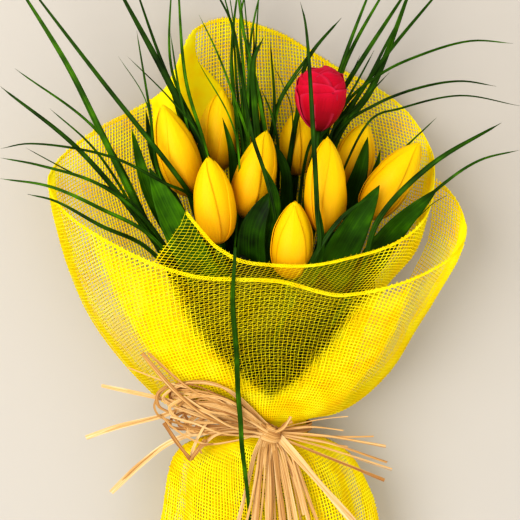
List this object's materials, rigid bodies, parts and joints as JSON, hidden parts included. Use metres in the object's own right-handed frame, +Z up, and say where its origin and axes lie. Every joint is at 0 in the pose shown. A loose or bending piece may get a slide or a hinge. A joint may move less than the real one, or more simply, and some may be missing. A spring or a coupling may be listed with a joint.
{
  "type": "bunch of tulips",
  "caption": "Bunch of closed yellow tulips with a red rosebud and bear grass, wrapped in open yellow net and tied with a raffia bow, lying on its back.",
  "frame": {"origin": "middle of the flat spot under the heads where the wrap's back rests", "axes": "+Y from the cut ends to the heads, +X to the right as seen from above with the heads up, +Z up from the surface that the bunch lies on"},
  "size_m": [0.3868, 0.4827, 0.1392],
  "materials": {
    "net": "open woven net, matt",
    "petal_yellow": null,
    "petal_red": null,
    "leaf": null,
    "grass": null,
    "raffia": null
  },
  "bodies": {
    "root": {"wrap_net": "net", "bloom_left": "petal_yellow", "bloom_back_left": "petal_yellow", "bloom_front_left": "petal_yellow", "bloom_centre": "petal_yellow", "bloom_front": "petal_yellow", "bloom_centre_right": "petal_yellow", "bloom_back": "petal_yellow", "bloom_back_right": "petal_yellow", "bloom_right": "petal_yellow", "rosebud": "petal_red", "stem_left": "leaf", "stem_back_left": "leaf", "stem_front_left": "leaf", "stem_centre": "leaf", "stem_front": "leaf", "stem_centre_right": "leaf", "stem_back": "leaf", "stem_back_right": "leaf", "stem_right": "leaf", "stem_rosebud": "leaf", "grass_left_fan": "grass", "grass_left_front": "grass", "grass_upper_left": "grass", "grass_centre": "grass", "grass_right_back": "grass", "grass_right": "grass", "grass_right_front": "grass", "grass_front": "grass", "grass_hanging": "grass", "raffia_bow": "raffia"}
  },
  "joints": []
}
